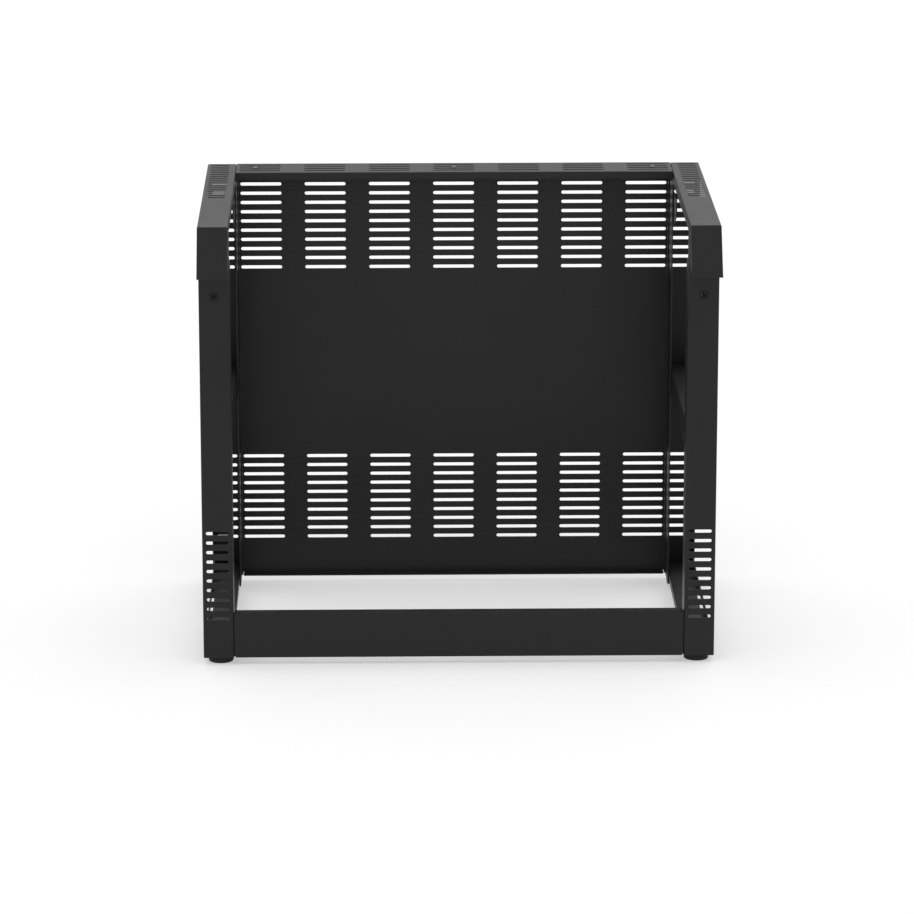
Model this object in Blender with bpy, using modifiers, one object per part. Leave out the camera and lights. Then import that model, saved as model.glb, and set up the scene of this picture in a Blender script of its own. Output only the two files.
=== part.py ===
"""Ventilated equipment housing frame: folded sheet-steel posts, caps and panels on four levelling feet.

Metres, +Z up, front towards -Y. The origin is on the floor, under the middle of the whole frame.
"""

import math

import bmesh
import bpy
from mathutils import Euler, Vector

# Overall sizes
WIDTH = 0.600
BODY_DEPTH = 0.3554  # rear face to the front faces of the posts
BODY_HEIGHT = 0.5208  # the sheet metal alone, without the feet
FOOT_LIFT = 0.0085  # floor to the underside of the sheet metal, feet screwed in

# Sheet and fits
SHEET = 0.0015
BEND_RADIUS = 0.0018
GAP = 0.0003  # between pieces that are welded, screwed or seated on each other
NEST = 0.0004  # round a piece that sits inside the bends of a post

# Corner posts
POST_WIDTH = 0.0358
FRONT_POST_DROP = 0.0498  # from the top of the sheet metal to the top of the front posts
FRONT_POST_HEIGHT = BODY_HEIGHT - FRONT_POST_DROP
FRONT_POST_RETURN = 0.036  # inner return flange, front posts
REAR_POST_RETURN = 0.060  # inner return flange, rear posts
POST_OUTER_RETURN = 0.025

# Side caps with their sloping hoods
CAP_STEP = 0.0006  # how far the caps' inner sides stand outside the posts'
CAP_WIDTH = POST_WIDTH - CAP_STEP
CAP_SKIRT = 0.0140  # inner and rear skirts
CAP_OUTER_SKIRT = 0.0060
CAP_LEG = 0.0230  # depth of the leg that stands on the front post
HOOD_TOP_REACH = 0.0200  # top edge of the hood ahead of the post face
HOOD_BOTTOM_REACH = 0.0543  # bottom edge of the hood ahead of the post face
HOOD_DROP = 0.0536

# Panels and rails
RAIL_DEPTH = 0.0582
RAIL_LIP = 0.0084
PANEL_SIDE_FLANGE = 0.015
PANEL_FOOT_FLANGE = 0.013
KICK_HEIGHT = 0.0546
KICK_FLANGE = 0.014
KICK_END_GAP = 0.0009
SILL_TOP = 0.0140  # above the underside of the sheet metal
SILL_UPSTAND_TOP = 0.0260
SILL_SLOT_LENGTH = 0.085  # tab slot punched through the sill's outer fold
SILL_SLOT_TOP = 0.0172
SILL_SLOT_EDGE = 0.0040  # how far the tab slot reaches in from the sill's outer face
BRACE_TOP = 0.2692
BRACE_HEIGHT = 0.0280
BRACE_FOOT_FLANGE = 0.010

# Ventilation slots
SLOT_HEIGHT = 0.0040
SLOT_PITCH = 0.01152
SLOT_ROWS = 10
LOW_SLOT_HEIGHT = 0.0481  # lowest row above the underside of the sheet metal
TOP_SLOT_DROP = 0.0252  # highest row below the top
PANEL_SLOT_LENGTH = 0.0500
PANEL_COLUMNS = 7
COLUMN_PITCH = 0.07856
POST_SLOT_LENGTH = 0.0265
CAP_SLOT_LENGTH = 0.0229
CAP_SLOT_SHIFT = 0.0020  # outwards of the posts' middle
FIRST_TOP_SLOT = 0.0100  # first row of the top plates, forward of the rear face
CAP_SLOT_ROWS = 18
RAIL_SLOT_ROWS = 4

# Top corner gussets
GUSSET_REACH = 0.100
GUSSET_TOP_DROP = 0.0270
GUSSET_NOSE = 0.020
GUSSET_LENGTH = 0.042
GUSSET_BACK = 0.012
GUSSET_THICKNESS = 0.0015
GUSSET_LOW_REACH = 0.050

# Rail cleats and screws
CLEAT_WIDTH = 0.016
CLEAT_DEPTH = 0.036
CLEAT_DROP = 0.014
CLEAT_SPACING = 0.2415
SCREW_SETBACK = 0.0275  # screw centres forward of the rear face
SCREW_HEAD_RADIUS = 0.0026
SCREW_HEAD_HEIGHT = 0.0012
SCREW_SHANK_RADIUS = 0.0015
SCREW_SHANK_LENGTH = 0.0055
SCREW_CLEARANCE = 0.0003
DRIVE_WIDTH = 0.0008
DRIVE_DEPTH = 0.0006

# Cage nuts behind the square holes of the front posts
CAGE_HOLE = 0.0095
CAGE_DROP = 0.0360  # from the top of a front post to its cage nut
CAGE_HEIGHT = FRONT_POST_HEIGHT - CAGE_DROP
CAGE_BODY = 0.0130
CAGE_BODY_DEPTH = 0.0060
CAGE_BORE_RADIUS = 0.0026

# Levelling feet
PAD_RADIUS = 0.0146
PAD_HEIGHT = 0.0079
PAD_EDGE = 0.0012
PAD_SOCKET_DEPTH = 0.0050
STUD_RADIUS = 0.0039
STUD_LENGTH = 0.0174
STUD_CLEARANCE = 0.0004
FOOT_INSET = 0.0205  # stud axis from the front and rear faces
FOOT_SIDE_INSET = 0.0198  # stud axis from the sides
FOOT_PLATE_THICKNESS = 0.0030
FOOT_PLATE_DEPTH = 0.0340
NUT_RADIUS = 0.0075  # over corners
NUT_HEIGHT = 0.0065

ROUND_STEPS = 24
SLOT_END_STEPS = 3
CUT_REACH = 0.003  # how far a slot cutter passes each face

# Worked out from the sizes above
REAR = (BODY_DEPTH + HOOD_BOTTOM_REACH) / 2
FRONT = REAR - BODY_DEPTH
SIDE = WIDTH / 2
BASE = FOOT_LIFT
TOP = FOOT_LIFT + BODY_HEIGHT
INNER = SIDE - POST_WIDTH
REAR_POST_TOP = TOP - CAP_SKIRT - GAP
FRONT_POST_TOP = BASE + FRONT_POST_HEIGHT
CAP_INNER = SIDE - CAP_WIDTH
CHANNEL_INNER = INNER + SHEET + NEST  # room inside a post, between its two flanges
CHANNEL_OUTER = SIDE - SHEET - NEST
POST_CENTRE = (INNER + SIDE) / 2

# Linear base colour, metallic and roughness of each finish
FINISHES = {
    "black_powder_coat": ((0.022, 0.022, 0.023), 0.0, 0.42),
    "black_rubber": ((0.016, 0.016, 0.016), 0.0, 0.70),
    "zinc_plated_steel": ((0.56, 0.56, 0.54), 1.0, 0.34),
    "blackened_steel": ((0.05, 0.05, 0.05), 1.0, 0.45),
}


def clear_scene():
    for obj in list(bpy.data.objects):
        bpy.data.objects.remove(obj, do_unlink=True)


def new_collection(name):
    collection = bpy.data.collections.new(name)
    bpy.context.scene.collection.children.link(collection)
    return collection


def finish(name):
    """The named finish as a material, made once."""
    material = bpy.data.materials.get(name)
    if material:
        return material
    colour, metallic, roughness = FINISHES[name]
    material = bpy.data.materials.new(name)
    material.use_nodes = True
    shader = material.node_tree.nodes["Principled BSDF"]
    shader.inputs["Base Color"].default_value = (*colour, 1.0)
    shader.inputs["Metallic"].default_value = metallic
    shader.inputs["Roughness"].default_value = roughness
    return material


def add_object(name, data, material):
    obj = bpy.data.objects.new(name, data)
    if material:
        obj.data.materials.append(finish(material))
        FRAME.objects.link(obj)
    else:
        obj.hide_render = True
        obj.display_type = "WIRE"
        CUTTERS.objects.link(obj)
    return obj


def mesh_object(name, bm, material=None):
    """A mesh object from a bmesh. With no material it is a cutter."""
    bmesh.ops.recalc_face_normals(bm, faces=bm.faces)
    mesh = bpy.data.meshes.new(name)
    bm.to_mesh(mesh)
    bm.free()
    return add_object(name, mesh, material)


def combine(obj, other, operation="DIFFERENCE"):
    modifier = obj.modifiers.new(other.name, "BOOLEAN")
    modifier.operation = operation
    modifier.solver = "EXACT"
    modifier.object = other


# Basic shapes


def add_box(bm, low, high):
    low, high = Vector(low), Vector(high)
    made = bmesh.ops.create_cube(bm, size=1.0)
    for vert in made["verts"]:
        vert.co = Vector((vert.co[i] * (high[i] - low[i]) + (low[i] + high[i]) / 2 for i in range(3)))
    return made["verts"]


def add_cylinder(bm, centre, radius, bottom, top, steps=ROUND_STEPS):
    made = bmesh.ops.create_cone(
        bm, cap_ends=True, segments=steps, radius1=radius, radius2=radius, depth=top - bottom
    )
    bmesh.ops.translate(bm, vec=(centre[0], centre[1], (top + bottom) / 2), verts=made["verts"])
    return made["verts"]


def add_prism(bm, outline, low, high, place):
    """The outline, a list of 2D points, drawn out from low to high. place turns (a, b, along) into a 3D point."""
    near = [bm.verts.new(place(a, b, low)) for a, b in outline]
    face = bm.faces.new(near)
    made = bmesh.ops.extrude_face_region(bm, geom=[face])
    far = [item for item in made["geom"] if isinstance(item, bmesh.types.BMVert)]
    shift = Vector(place(0, 0, high)) - Vector(place(0, 0, low))
    bmesh.ops.translate(bm, vec=shift, verts=far)


def folded_sheet(name, outline, low, high, run, material="black_powder_coat"):
    """Sheet folded along straight bends: the outline of its outer face, drawn out along the run axis.

    The outline is (x, y) for a run along Z, (y, z) along X and (x, z) along Y. The sheet's thickness
    lies on the left of the outline, with its first axis to the right and its second axis up.
    """
    place = {
        "X": lambda a, b, c: (c, a, b),
        "Y": lambda a, b, c: (a, c, b),
        "Z": lambda a, b, c: (a, b, c),
    }[run]
    bm = bmesh.new()
    ends = [[bm.verts.new(place(a, b, c)) for a, b in outline] for c in (low, high)]
    for i in range(len(outline) - 1):
        bm.faces.new((ends[0][i], ends[0][i + 1], ends[1][i + 1], ends[1][i]))
    mesh = bpy.data.meshes.new(name)
    bm.to_mesh(mesh)
    bm.free()
    obj = add_object(name, mesh, material)
    bevel = obj.modifiers.new("bends", "BEVEL")
    bevel.width = BEND_RADIUS
    bevel.segments = 2
    bevel.limit_method = "ANGLE"
    bevel.angle_limit = math.radians(20)
    solidify = obj.modifiers.new("sheet", "SOLIDIFY")
    solidify.thickness = SHEET
    solidify.offset = 1.0 if run == "Y" else -1.0
    solidify.use_even_offset = True
    return obj


def mirrored(outline, side):
    """A right-hand outline in (x, ...) for this side, in the order that keeps the sheet on its left."""
    if side > 0:
        return outline
    return [(-a, b) for a, b in reversed(outline)]


def side_name(side):
    return "right" if side > 0 else "left"


def slot_outline(length, height):
    """A slot with round ends, about the origin."""
    radius = height / 2
    reach = length / 2 - radius
    points = []
    for end in (1, -1):
        for step in range(SLOT_END_STEPS + 1):
            angle = math.radians(-90 + 180 * step / SLOT_END_STEPS)
            points.append((end * (reach + radius * math.cos(angle)), end * radius * math.sin(angle)))
    return points


def slot_cutter(name, centres, length, face, upright):
    """One cutter for a pattern of slots that run along X, through an upright face or a level one."""
    bm = bmesh.new()
    for centre_x, centre_b in centres:
        outline = [(centre_x + a, centre_b + b) for a, b in slot_outline(length, SLOT_HEIGHT)]
        place = (lambda a, b, c: (a, c, b)) if upright else (lambda a, b, c: (a, b, c))
        add_prism(bm, outline, face - CUT_REACH, face + CUT_REACH, place)
    return mesh_object(name, bm)


def low_rows():
    return [BASE + LOW_SLOT_HEIGHT + row * SLOT_PITCH for row in range(SLOT_ROWS)]


def high_rows():
    return [TOP - TOP_SLOT_DROP - row * SLOT_PITCH for row in range(SLOT_ROWS)]


# Posts


def front_post(side):
    outline = mirrored(
        [
            (SIDE, FRONT + POST_OUTER_RETURN),
            (SIDE, FRONT),
            (INNER, FRONT),
            (INNER, FRONT + FRONT_POST_RETURN),
        ][::-1],
        side,
    )
    post = folded_sheet(f"front_post_{side_name(side)}", outline, BASE, FRONT_POST_TOP, "Z")
    centres = [(side * POST_CENTRE, z) for z in low_rows()]
    combine(post, slot_cutter(f"front_slots_{side_name(side)}", centres, POST_SLOT_LENGTH, FRONT, True))
    bm = bmesh.new()
    half = CAGE_HOLE / 2
    height = BASE + CAGE_HEIGHT
    add_box(
        bm,
        (side * POST_CENTRE - half, FRONT - CUT_REACH, height - half),
        (side * POST_CENTRE + half, FRONT + CUT_REACH, height + half),
    )
    combine(post, mesh_object(f"cage_hole_{side_name(side)}", bm))


def rear_post(side):
    outline = mirrored(
        [
            (SIDE, REAR - POST_OUTER_RETURN),
            (SIDE, REAR),
            (INNER, REAR),
            (INNER, REAR - REAR_POST_RETURN),
        ],
        side,
    )
    post = folded_sheet(f"rear_post_{side_name(side)}", outline, BASE, REAR_POST_TOP, "Z")
    centres = [(side * POST_CENTRE, z) for z in low_rows() + high_rows()]
    combine(post, slot_cutter(f"rear_slots_{side_name(side)}", centres, POST_SLOT_LENGTH, REAR, True))


def cage_nut(side):
    """A square nut whose collar fills the square hole of the front post, with its body behind the sheet."""
    name = f"cage_nut_{side_name(side)}"
    x = side * POST_CENTRE
    z = BASE + CAGE_HEIGHT
    collar = CAGE_HOLE / 2 - GAP
    body = CAGE_BODY / 2
    back = FRONT + SHEET + GAP
    bm = bmesh.new()
    add_box(bm, (x - body, back, z - body), (x + body, back + CAGE_BODY_DEPTH, z + body))
    nut = mesh_object(name, bm, "blackened_steel")
    bm = bmesh.new()
    add_box(bm, (x - collar, FRONT + GAP, z - collar), (x + collar, back + CAGE_BODY_DEPTH / 2, z + collar))
    combine(nut, mesh_object(f"{name}_collar", bm), "UNION")
    bm = bmesh.new()
    add_cylinder(bm, (0, 0), CAGE_BORE_RADIUS, -CAGE_BODY_DEPTH, CAGE_BODY_DEPTH * 2)
    bmesh.ops.rotate(bm, verts=bm.verts, matrix=Euler((math.radians(-90), 0, 0)).to_matrix())
    bmesh.ops.translate(bm, verts=bm.verts, vec=(x, FRONT, z))
    combine(nut, mesh_object(f"{name}_bore", bm))


# Side caps


def hood_offset():
    """How far a plane laid one sheet inside the sloping hood sits behind it, measured level."""
    run = HOOD_BOTTOM_REACH - HOOD_TOP_REACH
    return SHEET * math.hypot(HOOD_DROP, run) / HOOD_DROP


def side_cap(side):
    """Top plate, skirts and sloping hood in one: an outer block less an inner one that is open below.

    A leg of its cheeks stands on the front post, and its outer skirt is lower than the others.
    """
    name = f"side_cap_{side_name(side)}"
    hood_top = FRONT - HOOD_TOP_REACH
    hood_foot = FRONT - HOOD_BOTTOM_REACH
    slope = (hood_top - hood_foot) / HOOD_DROP
    outer = [
        (REAR, TOP),
        (hood_top, TOP),
        (hood_foot, TOP - HOOD_DROP),
        (FRONT - GAP, TOP - HOOD_DROP),
        (FRONT - GAP, FRONT_POST_TOP + GAP),
        (FRONT + CAP_LEG, FRONT_POST_TOP + GAP),
        (FRONT + CAP_LEG, TOP - CAP_SKIRT),
        (REAR, TOP - CAP_SKIRT),
    ]
    below = TOP - HOOD_DROP * 1.5
    inner = [
        (REAR - SHEET, TOP - SHEET),
        (hood_top + hood_offset() - slope * SHEET, TOP - SHEET),
        (hood_top + hood_offset() - slope * (TOP - below), below),
        (REAR - SHEET, below),
    ]
    low, high = sorted((side * CAP_INNER, side * SIDE))
    place = lambda a, b, c: (c, a, b)
    bm = bmesh.new()
    add_prism(bm, outer, low, high, place)
    bmesh.ops.recalc_face_normals(bm, faces=bm.faces)
    rounded = [
        edge
        for edge in bm.edges
        if edge.is_manifold
        and edge.calc_face_angle() > math.radians(20)
        and all(vert.co.z > TOP - HOOD_DROP * 0.99 or vert.co.y < hood_foot + GAP for vert in edge.verts)
        and all(vert.co.y < FRONT - SHEET or vert.co.z > TOP - SHEET for vert in edge.verts)
        and (edge.verts[0].co - edge.verts[1].co).length > SHEET
        and any(vert.co.z > TOP - HOOD_DROP + GAP for vert in edge.verts)
    ]
    bmesh.ops.bevel(
        bm, geom=rounded, offset=BEND_RADIUS, segments=2, profile=0.5, affect="EDGES", clamp_overlap=True
    )
    cap = mesh_object(name, bm, "black_powder_coat")
    bm = bmesh.new()
    add_prism(bm, inner, low + SHEET, high - SHEET, place)
    combine(cap, mesh_object(f"{name}_inside", bm))
    bm = bmesh.new()
    near, far = sorted((side * (SIDE - SHEET * 1.1), side * (SIDE + CUT_REACH)))
    add_box(
        bm,
        (near, FRONT + CAP_LEG, TOP - HOOD_DROP),
        (far, REAR - SHEET, TOP - CAP_OUTER_SKIRT),
    )
    combine(cap, mesh_object(f"{name}_side_opening", bm))
    centres = [(side * (POST_CENTRE + CAP_SLOT_SHIFT), y) for y in top_rows(CAP_SLOT_ROWS)]
    combine(cap, slot_cutter(f"cap_slots_{side_name(side)}", centres, CAP_SLOT_LENGTH, TOP, False))


def top_rows(count):
    """Places along Y of the rows of slots in a top plate."""
    return [REAR - FIRST_TOP_SLOT - row * SLOT_PITCH for row in range(count)]


# Panels and rails


def panel_columns():
    first = -(PANEL_COLUMNS - 1) / 2
    return [(first + column) * COLUMN_PITCH for column in range(PANEL_COLUMNS)]


def back_panel():
    """The slotted sheet between the rear posts, with side flanges against them and a foot flange."""
    edge = INNER - GAP
    panel_top = TOP - SHEET - GAP
    face = folded_sheet(
        "back_panel",
        [
            (-edge, REAR - PANEL_SIDE_FLANGE),
            (-edge, REAR),
            (edge, REAR),
            (edge, REAR - PANEL_SIDE_FLANGE),
        ][::-1],
        BASE,
        panel_top,
        "Z",
    )
    foot = folded_sheet(
        "back_panel_foot",
        [
            (REAR - SHEET / 3, BASE + BEND_RADIUS * 2),
            (REAR - SHEET / 3, BASE),
            (REAR - PANEL_FOOT_FLANGE, BASE),
        ][::-1],
        SHEET / 2 - edge,
        edge - SHEET / 2,
        "X",
        None,
    )
    combine(face, foot, "UNION")
    centres = [(x, z) for x in panel_columns() for z in low_rows() + high_rows()]
    combine(face, slot_cutter("panel_slots", centres, PANEL_SLOT_LENGTH, REAR, True))


def rear_top_rail():
    edge = CAP_INNER - GAP
    rail = folded_sheet(
        "rear_top_rail",
        [(REAR, TOP), (REAR - RAIL_DEPTH, TOP), (REAR - RAIL_DEPTH, TOP - RAIL_LIP)],
        -edge,
        edge,
        "X",
    )
    centres = [(x, y) for x in panel_columns() for y in top_rows(RAIL_SLOT_ROWS)]
    combine(rail, slot_cutter("rail_slots", centres, PANEL_SLOT_LENGTH, TOP, False))
    bm = bmesh.new()
    for x in (-CLEAT_SPACING, 0, CLEAT_SPACING):
        hole = SCREW_SHANK_RADIUS + SCREW_CLEARANCE
        add_cylinder(bm, (x, REAR - SCREW_SETBACK), hole, TOP - CUT_REACH, TOP + CUT_REACH)
    combine(rail, mesh_object("rail_screw_holes", bm))


def rail_cleat(number, x):
    """Angle cleat that joins the rear top rail to the back panel, with its screw."""
    under = TOP - SHEET - GAP
    half = CLEAT_WIDTH / 2
    back = REAR - SHEET - GAP
    cleat = folded_sheet(
        f"rail_cleat_{number}",
        [(back, under - CLEAT_DROP), (back, under), (back - CLEAT_DEPTH, under)],
        x - half,
        x + half,
        "X",
    )
    bm = bmesh.new()
    hole = SCREW_SHANK_RADIUS + SCREW_CLEARANCE
    add_cylinder(bm, (x, REAR - SCREW_SETBACK), hole, under - CUT_REACH, under + CUT_REACH)
    combine(cleat, mesh_object(f"cleat_hole_{number}", bm))

    name = f"rail_screw_{number}"
    centre = (x, REAR - SCREW_SETBACK)
    bm = bmesh.new()
    add_cylinder(bm, centre, SCREW_HEAD_RADIUS, TOP + GAP, TOP + GAP + SCREW_HEAD_HEIGHT)
    screw = mesh_object(name, bm, "blackened_steel")
    bm = bmesh.new()
    add_cylinder(bm, centre, SCREW_SHANK_RADIUS, TOP - SCREW_SHANK_LENGTH, TOP + SCREW_HEAD_HEIGHT / 2)
    combine(screw, mesh_object(f"{name}_shank", bm), "UNION")
    bm = bmesh.new()
    top = TOP + GAP + SCREW_HEAD_HEIGHT
    reach = SCREW_HEAD_RADIUS * 0.7
    half = DRIVE_WIDTH / 2
    add_box(
        bm,
        (x - reach, centre[1] - half, top - DRIVE_DEPTH),
        (x + reach, centre[1] + half, top + DRIVE_DEPTH),
    )
    combine(screw, mesh_object(f"{name}_drive", bm))


def kick_plate():
    edge = INNER - KICK_END_GAP
    outline = [
        (FRONT + KICK_FLANGE, BASE + KICK_HEIGHT),
        (FRONT, BASE + KICK_HEIGHT),
        (FRONT, BASE),
        (FRONT + KICK_FLANGE, BASE),
    ]
    folded_sheet("kick_plate", outline, -edge, edge, "X")


def between_posts():
    """Y limits of a piece that seats inside the front and rear posts."""
    return FRONT + SHEET + NEST, REAR - SHEET - NEST


def side_sill(side):
    """Low rail inside the posts, with an outer upstand and a tab slot through its fold."""
    outline = mirrored(
        [
            (CHANNEL_INNER, BASE + FOOT_PLATE_THICKNESS + GAP),
            (CHANNEL_INNER, BASE + SILL_TOP),
            (CHANNEL_OUTER - SHEET, BASE + SILL_TOP),
            (CHANNEL_OUTER - SHEET, BASE + SILL_UPSTAND_TOP),
        ][::-1],
        side,
    )
    sill = folded_sheet(f"side_sill_{side_name(side)}", outline, *between_posts(), "Y")
    middle = (FRONT + REAR) / 2
    bm = bmesh.new()
    inner, outer = sorted((side * (CHANNEL_OUTER - SILL_SLOT_EDGE), side * (CHANNEL_OUTER + CUT_REACH)))
    add_box(
        bm,
        (inner, middle - SILL_SLOT_LENGTH / 2, BASE + SILL_TOP - CUT_REACH),
        (outer, middle + SILL_SLOT_LENGTH / 2, BASE + SILL_SLOT_TOP),
    )
    combine(sill, mesh_object(f"sill_slot_{side_name(side)}", bm))


def side_brace(side):
    """Mid-height channel between the front and rear posts, open towards the outside."""
    outline = mirrored(
        [
            (CHANNEL_OUTER, BASE + BRACE_TOP),
            (CHANNEL_INNER, BASE + BRACE_TOP),
            (CHANNEL_INNER, BASE + BRACE_TOP - BRACE_HEIGHT),
            (CHANNEL_INNER + BRACE_FOOT_FLANGE, BASE + BRACE_TOP - BRACE_HEIGHT),
        ],
        side,
    )
    folded_sheet(f"side_brace_{side_name(side)}", outline, *between_posts(), "Y")


def top_gusset(side):
    """Plate that ties the rear post's inner flange to the side cap, behind the flange."""
    top = TOP - GUSSET_TOP_DROP
    back = REAR - GUSSET_BACK
    outline = [
        (back, top),
        (REAR - GUSSET_REACH, top),
        (REAR - GUSSET_REACH, top - GUSSET_NOSE),
        (REAR - GUSSET_LOW_REACH, top - GUSSET_LENGTH),
        (back, top - GUSSET_LENGTH),
    ]
    curve = bpy.data.curves.new(f"top_gusset_{side_name(side)}", "CURVE")
    curve.dimensions = "2D"
    curve.fill_mode = "BOTH"
    curve.extrude = GUSSET_THICKNESS / 2
    spline = curve.splines.new("POLY")
    spline.points.add(len(outline) - 1)
    for point, (a, b) in zip(spline.points, outline):
        point.co = (a, b, 0, 1)
    spline.use_cyclic_u = True
    plate = add_object(f"top_gusset_{side_name(side)}", curve, "black_powder_coat")
    plate.rotation_euler = (math.radians(90), 0, math.radians(90))
    plate.location.x = side * (CHANNEL_INNER + GUSSET_THICKNESS / 2)


# Feet


def foot_rows():
    return FRONT + FOOT_INSET, REAR - FOOT_INSET


def foot_plate(name, side, y, end):
    """Thick plate across the bottom of a post, with the stud's hole."""
    inner, outer = sorted((side * CHANNEL_INNER, side * CHANNEL_OUTER))
    near, rear = between_posts()
    near = near if end == "front" else rear
    far = near + FOOT_PLATE_DEPTH if end == "front" else near - FOOT_PLATE_DEPTH
    low, high = sorted((near, far))
    bm = bmesh.new()
    add_box(bm, (inner, low, BASE), (outer, high, BASE + FOOT_PLATE_THICKNESS))
    plate = mesh_object(f"foot_plate_{name}", bm, "black_powder_coat")
    bm = bmesh.new()
    centre = (side * (SIDE - FOOT_SIDE_INSET), y)
    bore = STUD_RADIUS + STUD_CLEARANCE
    add_cylinder(bm, centre, bore, BASE - CUT_REACH, BASE + FOOT_PLATE_THICKNESS + CUT_REACH)
    combine(plate, mesh_object(f"foot_plate_hole_{name}", bm))


def weld_nut(name, centre):
    bottom = BASE + FOOT_PLATE_THICKNESS + GAP
    bm = bmesh.new()
    add_cylinder(bm, centre, NUT_RADIUS, bottom, bottom + NUT_HEIGHT, steps=6)
    nut = mesh_object(f"foot_nut_{name}", bm, "zinc_plated_steel")
    bm = bmesh.new()
    bore = STUD_RADIUS + STUD_CLEARANCE
    add_cylinder(bm, centre, bore, bottom - CUT_REACH, bottom + NUT_HEIGHT + CUT_REACH)
    combine(nut, mesh_object(f"foot_nut_bore_{name}", bm))


def foot_pad(name, centre):
    """Turned pad with eased edges and a socket for the stud."""
    socket = STUD_RADIUS + STUD_CLEARANCE
    profile = [
        (0, PAD_HEIGHT - PAD_SOCKET_DEPTH),
        (socket, PAD_HEIGHT - PAD_SOCKET_DEPTH),
        (socket, PAD_HEIGHT),
        (PAD_RADIUS - PAD_EDGE, PAD_HEIGHT),
        (PAD_RADIUS, PAD_HEIGHT - PAD_EDGE),
        (PAD_RADIUS, PAD_EDGE),
        (PAD_RADIUS - PAD_EDGE, 0),
        (0, 0),
    ]
    bm = bmesh.new()
    verts = [bm.verts.new((r, 0, z)) for r, z in profile]
    for first, second in zip(verts, verts[1:]):
        bm.edges.new((first, second))
    mesh = bpy.data.meshes.new(f"foot_pad_{name}")
    bm.to_mesh(mesh)
    bm.free()
    pad = add_object(f"foot_pad_{name}", mesh, "black_rubber")
    screw = pad.modifiers.new("turned", "SCREW")
    screw.steps = ROUND_STEPS
    screw.render_steps = ROUND_STEPS
    screw.use_merge_vertices = True
    screw.merge_threshold = 0.00001
    pad.location = (*centre, 0)


def foot_stud(name, centre):
    """Levelling stud, with a screwdriver slot across its top end."""
    bottom = PAD_HEIGHT - PAD_SOCKET_DEPTH + GAP
    bm = bmesh.new()
    add_cylinder(bm, centre, STUD_RADIUS, bottom, bottom + STUD_LENGTH)
    stud = mesh_object(f"foot_stud_{name}", bm, "zinc_plated_steel")
    bm = bmesh.new()
    top = bottom + STUD_LENGTH
    reach = STUD_RADIUS * 2
    half = STUD_RADIUS / 6
    add_box(
        bm,
        (centre[0] - reach, centre[1] - half, top - STUD_RADIUS / 2),
        (centre[0] + reach, centre[1] + half, top + STUD_RADIUS),
    )
    combine(stud, mesh_object(f"foot_stud_drive_{name}", bm))


def foot(side, y, end):
    name = f"{end}_{side_name(side)}"
    centre = (side * (SIDE - FOOT_SIDE_INSET), y)
    foot_plate(name, side, y, end)
    weld_nut(name, centre)
    foot_pad(name, centre)
    foot_stud(name, centre)


def build():
    for side in (-1, 1):
        front_post(side)
        rear_post(side)
        cage_nut(side)
        side_cap(side)
        side_sill(side)
        side_brace(side)
        top_gusset(side)
        for y, end in zip(foot_rows(), ("front", "rear")):
            foot(side, y, end)
    back_panel()
    rear_top_rail()
    kick_plate()
    for number, x in enumerate((-CLEAT_SPACING, 0, CLEAT_SPACING), start=1):
        rail_cleat(number, x)


clear_scene()
FRAME = new_collection("equipment_housing_frame")
CUTTERS = new_collection("cutters")
build()
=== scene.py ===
"""Looks for an open equipment housing frame of folded, powder-coated sheet steel.

Every sheet piece is a flat pattern on a grid, with a ring of faces round each slot. It is folded by
carrying the grid along a line of straight runs and round bends. Metres, +Z up, front towards -Y.
"""

import math

import bpy
import numpy as np
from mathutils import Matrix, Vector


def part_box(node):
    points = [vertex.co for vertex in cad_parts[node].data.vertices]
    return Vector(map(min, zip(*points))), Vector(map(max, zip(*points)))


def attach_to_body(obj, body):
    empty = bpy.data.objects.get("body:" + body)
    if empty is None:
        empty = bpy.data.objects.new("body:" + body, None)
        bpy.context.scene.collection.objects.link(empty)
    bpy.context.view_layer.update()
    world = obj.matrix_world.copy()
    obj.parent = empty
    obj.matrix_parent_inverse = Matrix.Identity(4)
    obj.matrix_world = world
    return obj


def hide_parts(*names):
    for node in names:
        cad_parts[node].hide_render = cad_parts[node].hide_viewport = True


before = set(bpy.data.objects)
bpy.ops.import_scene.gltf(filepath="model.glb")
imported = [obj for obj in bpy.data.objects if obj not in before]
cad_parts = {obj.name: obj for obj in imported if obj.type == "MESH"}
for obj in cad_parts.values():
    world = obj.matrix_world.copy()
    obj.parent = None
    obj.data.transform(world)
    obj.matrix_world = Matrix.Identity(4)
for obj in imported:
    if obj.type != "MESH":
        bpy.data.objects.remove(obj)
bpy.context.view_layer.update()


def node_box(name):
    low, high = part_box(name)
    return np.array(low, float), np.array(high, float)


# Places read from the frame
POST_LOW, POST_HIGH = node_box("front_post_right")
REAR_POST_LOW, REAR_POST_HIGH = node_box("rear_post_right")
CAP_LOW, CAP_HIGH = node_box("side_cap_right")
PANEL_HIGH = node_box("back_panel")[1]
RAIL_LOW, RAIL_HIGH = node_box("rear_top_rail")
KICK_LOW, KICK_HIGH = node_box("kick_plate")
SILL_LOW, SILL_HIGH = node_box("side_sill_right")
BRACE_LOW, BRACE_HIGH = node_box("side_brace_right")

BASE = POST_LOW[2]  # underside of the sheet metal
TOP = CAP_HIGH[2]
FRONT = POST_LOW[1]  # front faces of the posts
REAR = PANEL_HIGH[1]
SIDE = POST_HIGH[0]
INNER = POST_LOW[0]  # inner faces of the posts
CAP_INNER = CAP_LOW[0]
POST_MIDDLE = (INNER + SIDE) / 2

# Sheet
SHEET = 0.0015
CAP_SHEET = 0.0007  # thin, so that light shows through the slots of the caps
BEND = 0.0018
BEND_STEPS = 7
EDGE_EASE = 0.00022  # punched and cut edges, rounded by the coat
EASE_STEPS = 2
EASE_FROM = math.radians(40)  # sharper edges than this are eased

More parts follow.
